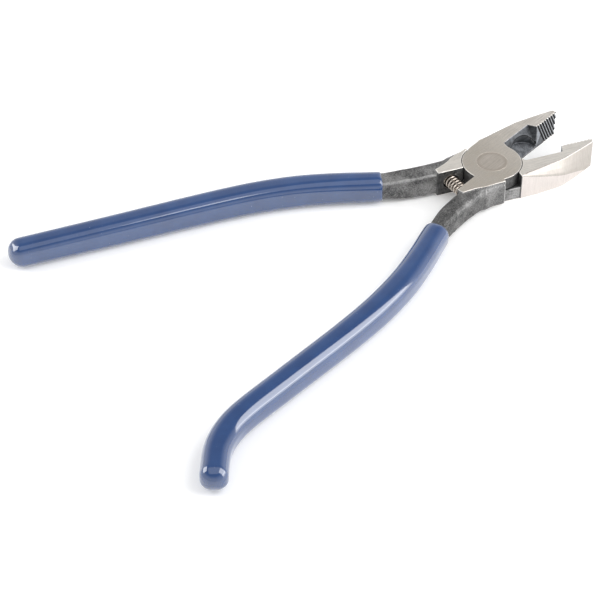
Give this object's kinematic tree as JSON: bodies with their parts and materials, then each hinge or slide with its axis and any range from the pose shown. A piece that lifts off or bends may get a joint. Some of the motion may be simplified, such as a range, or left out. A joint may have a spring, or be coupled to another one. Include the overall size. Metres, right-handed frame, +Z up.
{
  "type": "pliers",
  "caption": "Slim-head ironworker's pliers with toothed jaws, a knife behind the teeth, a return spring between the handle roots and dipped handles, one ending in a hook bend",
  "frame": {"origin": "on the rivet's axis at the lower face of the head, which is the face the tool lies on", "axes": "+X from the rivet towards the jaws along the middle line of the opening, +Y towards the hook half's jaw, +Z up through the rivet"},
  "size_m": [0.222, 0.1462, 0.011],
  "materials": {
    "forged_steel": "ground satin faces on a dark forged body",
    "rivet_steel": "ground satin, flush with the head",
    "spring_steel": "bright drawn wire",
    "blue_dip": "gloss dipped vinyl"
  },
  "bodies": {
    "straight_side": {"straight_half": "forged_steel", "straight_grip": "blue_dip", "pivot_rivet": "rivet_steel", "handle_spring": "spring_steel"},
    "hook_side": {"hook_half": "forged_steel", "hook_grip": "blue_dip"}
  },
  "joints": [
    {"name": "rivet_hinge", "type": "hinge", "parent": "straight_side", "child": "hook_side", "pos_m": [0, 0, 0], "axis": [0, 0, -1], "range_deg": [0, 28.4], "stiffness_Nm_per_rad": 0.4, "springref_deg": -17.19, "deforming": ["handle_spring"]}
  ]
}
